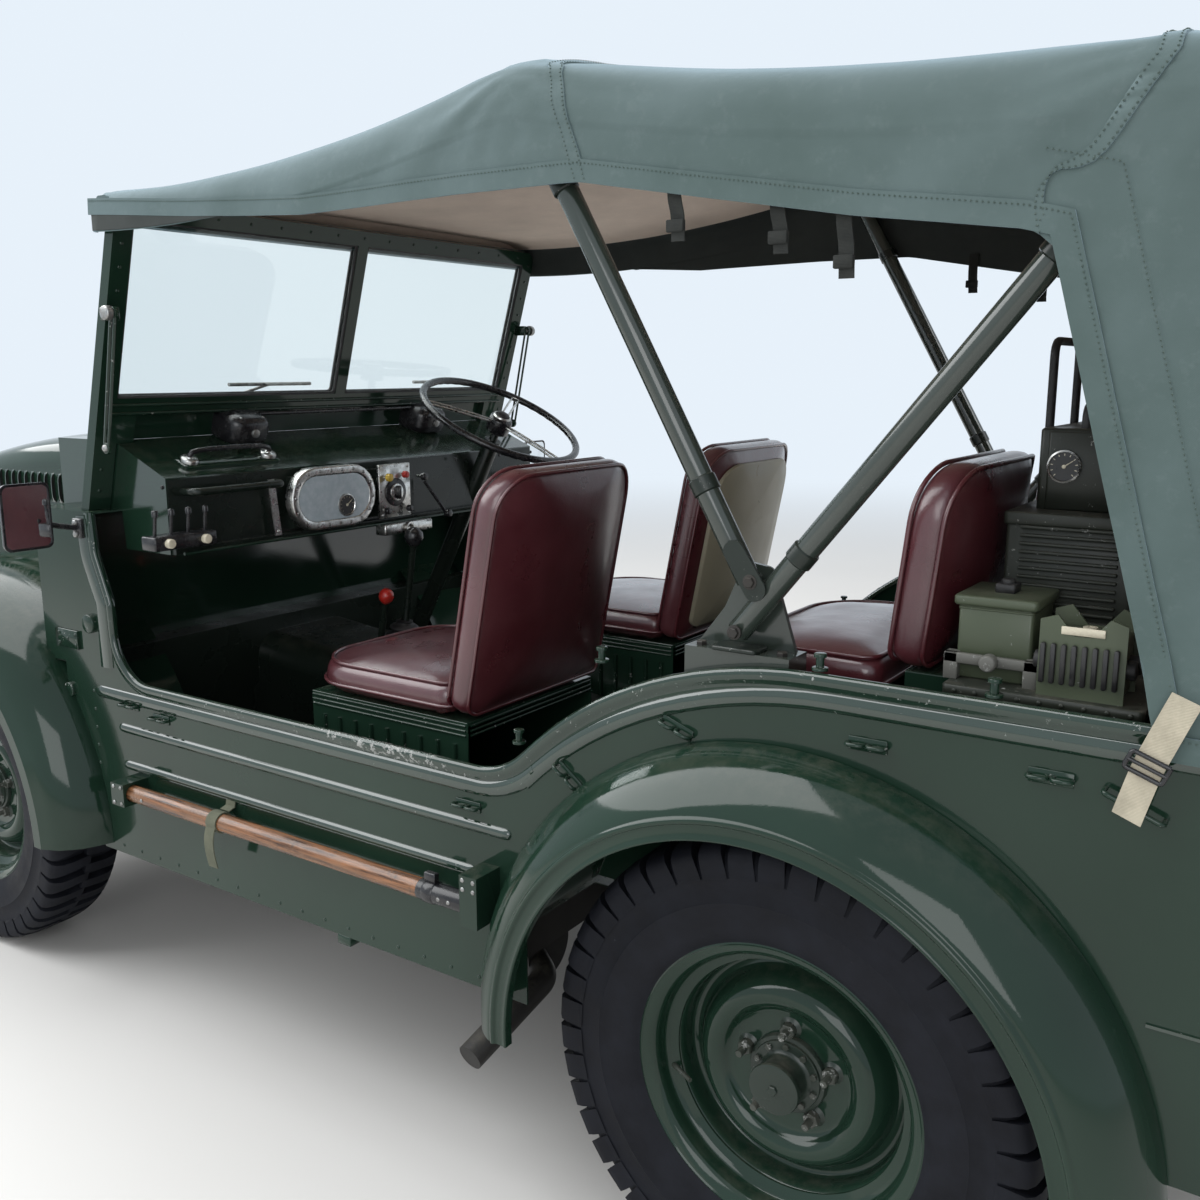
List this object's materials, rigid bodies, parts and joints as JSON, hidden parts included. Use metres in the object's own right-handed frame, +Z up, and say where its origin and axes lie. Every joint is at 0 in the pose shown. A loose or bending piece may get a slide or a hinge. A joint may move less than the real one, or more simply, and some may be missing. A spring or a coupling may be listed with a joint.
{
  "type": "army 4x4 car",
  "caption": "Open four-wheel-drive army car with canvas hood, leather seats, radio gear, spare wheel, opening bonnet, steering and rolling wheels.",
  "frame": {"origin": "on the ground under the middle of the car", "axes": "+X forward, +Y to the left, +Z up"},
  "size_m": [3.66, 1.724, 1.862],
  "materials": {
    "body_paint": "gloss deep bronze green",
    "dark_paint": "gloss near-black",
    "canvas": "proofed green canvas",
    "leather": "maroon hide",
    "glass": "clear",
    "tyre": "black rubber",
    "wood": "varnished ash",
    "radio_paint": "satin drab green",
    "iron": "painted iron",
    "lamp": "lamp glass and rim"
  },
  "bodies": {
    "body": {"chassis_frame": "dark_paint", "floor_pan": "dark_paint", "rear_floor": "body_paint", "side_left": "body_paint", "side_right": "body_paint", "rear_panel": "body_paint", "scuttle": "body_paint", "dash_panel": "dark_paint", "front_panel": "body_paint", "radiator": "dark_paint", "front_wing_left": "body_paint", "front_wing_right": "body_paint", "rear_wing_left": "body_paint", "rear_wing_right": "body_paint", "windscreen_frame": "body_paint", "windscreen_glass": "glass", "hood_canvas": "canvas", "hood_bows": "dark_paint", "front_cushions": "leather", "front_backs": "leather", "rear_cushions": "leather", "rear_backs": "leather", "seat_frames": "body_paint", "radio_gear": "radio_paint", "controls": "dark_paint", "steering_column": "dark_paint", "spare_tyre": "tyre", "spare_rim": "body_paint", "rear_carriers": "body_paint", "front_bumper": "body_paint", "tow_gear": "dark_paint", "lamps": "lamp", "mirrors": "dark_paint", "tool_handle": "wood", "tool_brackets": "body_paint", "exhaust": "iron", "engine": "iron", "front_axle": "dark_paint", "rear_axle": "dark_paint"},
    "bonnet": {"bonnet": "body_paint"},
    "steering_wheel": {"steering_wheel": "dark_paint"},
    "knuckle_left": {"knuckle_left": "dark_paint"},
    "knuckle_right": {"knuckle_right": "dark_paint"},
    "track_rod": {"track_rod": "dark_paint"},
    "wheel_front_left": {"tyre_front_left": "tyre", "rim_front_left": "body_paint"},
    "wheel_front_right": {"tyre_front_right": "tyre", "rim_front_right": "body_paint"},
    "wheel_rear_left": {"tyre_rear_left": "tyre", "rim_rear_left": "body_paint"},
    "wheel_rear_right": {"tyre_rear_right": "tyre", "rim_rear_right": "body_paint"}
  },
  "joints": [
    {"name": "bonnet_lid", "type": "hinge", "parent": "body", "child": "bonnet", "pos_m": [0.91, 0, 1.248], "axis": [0, -1, 0], "range_deg": [0, 70]},
    {"name": "steer_left", "type": "hinge", "parent": "body", "child": "knuckle_left", "pos_m": [1.27, 0.505, 0.372], "axis": [0, 0, 1], "range_deg": [-28, 28]},
    {"name": "steer_right", "type": "hinge", "parent": "body", "child": "knuckle_right", "pos_m": [1.27, -0.505, 0.372], "axis": [0, 0, 1], "range_deg": [-28, 28]},
    {"name": "track_rod_pivot", "type": "hinge", "parent": "knuckle_left", "child": "track_rod", "pos_m": [1.14, 0.505, 0.3], "axis": [0, 0, 1], "range_deg": [-28, 28]},
    {"name": "steering_turn", "type": "hinge", "parent": "body", "child": "steering_wheel", "pos_m": [0.442, -0.355, 1.25], "axis": [-0.4695, 0, 0.8829], "range_deg": [-392, 392]},
    {"name": "spin_front_left", "type": "hinge", "parent": "knuckle_left", "child": "wheel_front_left", "pos_m": [1.27, 0.6095, 0.372], "axis": [0, 1, 0], "continuous": true},
    {"name": "spin_front_right", "type": "hinge", "parent": "knuckle_right", "child": "wheel_front_right", "pos_m": [1.27, -0.6095, 0.372], "axis": [0, 1, 0], "continuous": true},
    {"name": "spin_rear_left", "type": "hinge", "parent": "body", "child": "wheel_rear_left", "pos_m": [-0.864, 0.6095, 0.372], "axis": [0, 1, 0], "continuous": true},
    {"name": "spin_rear_right", "type": "hinge", "parent": "body", "child": "wheel_rear_right", "pos_m": [-0.864, -0.6095, 0.372], "axis": [0, 1, 0], "continuous": true}
  ],
  "couplings": [
    {"joint": "steer_right", "follows": "steer_left", "ratio": 1},
    {"joint": "track_rod_pivot", "follows": "steer_left", "ratio": -1},
    {"joint": "steering_turn", "follows": "steer_left", "ratio": 14}
  ]
}
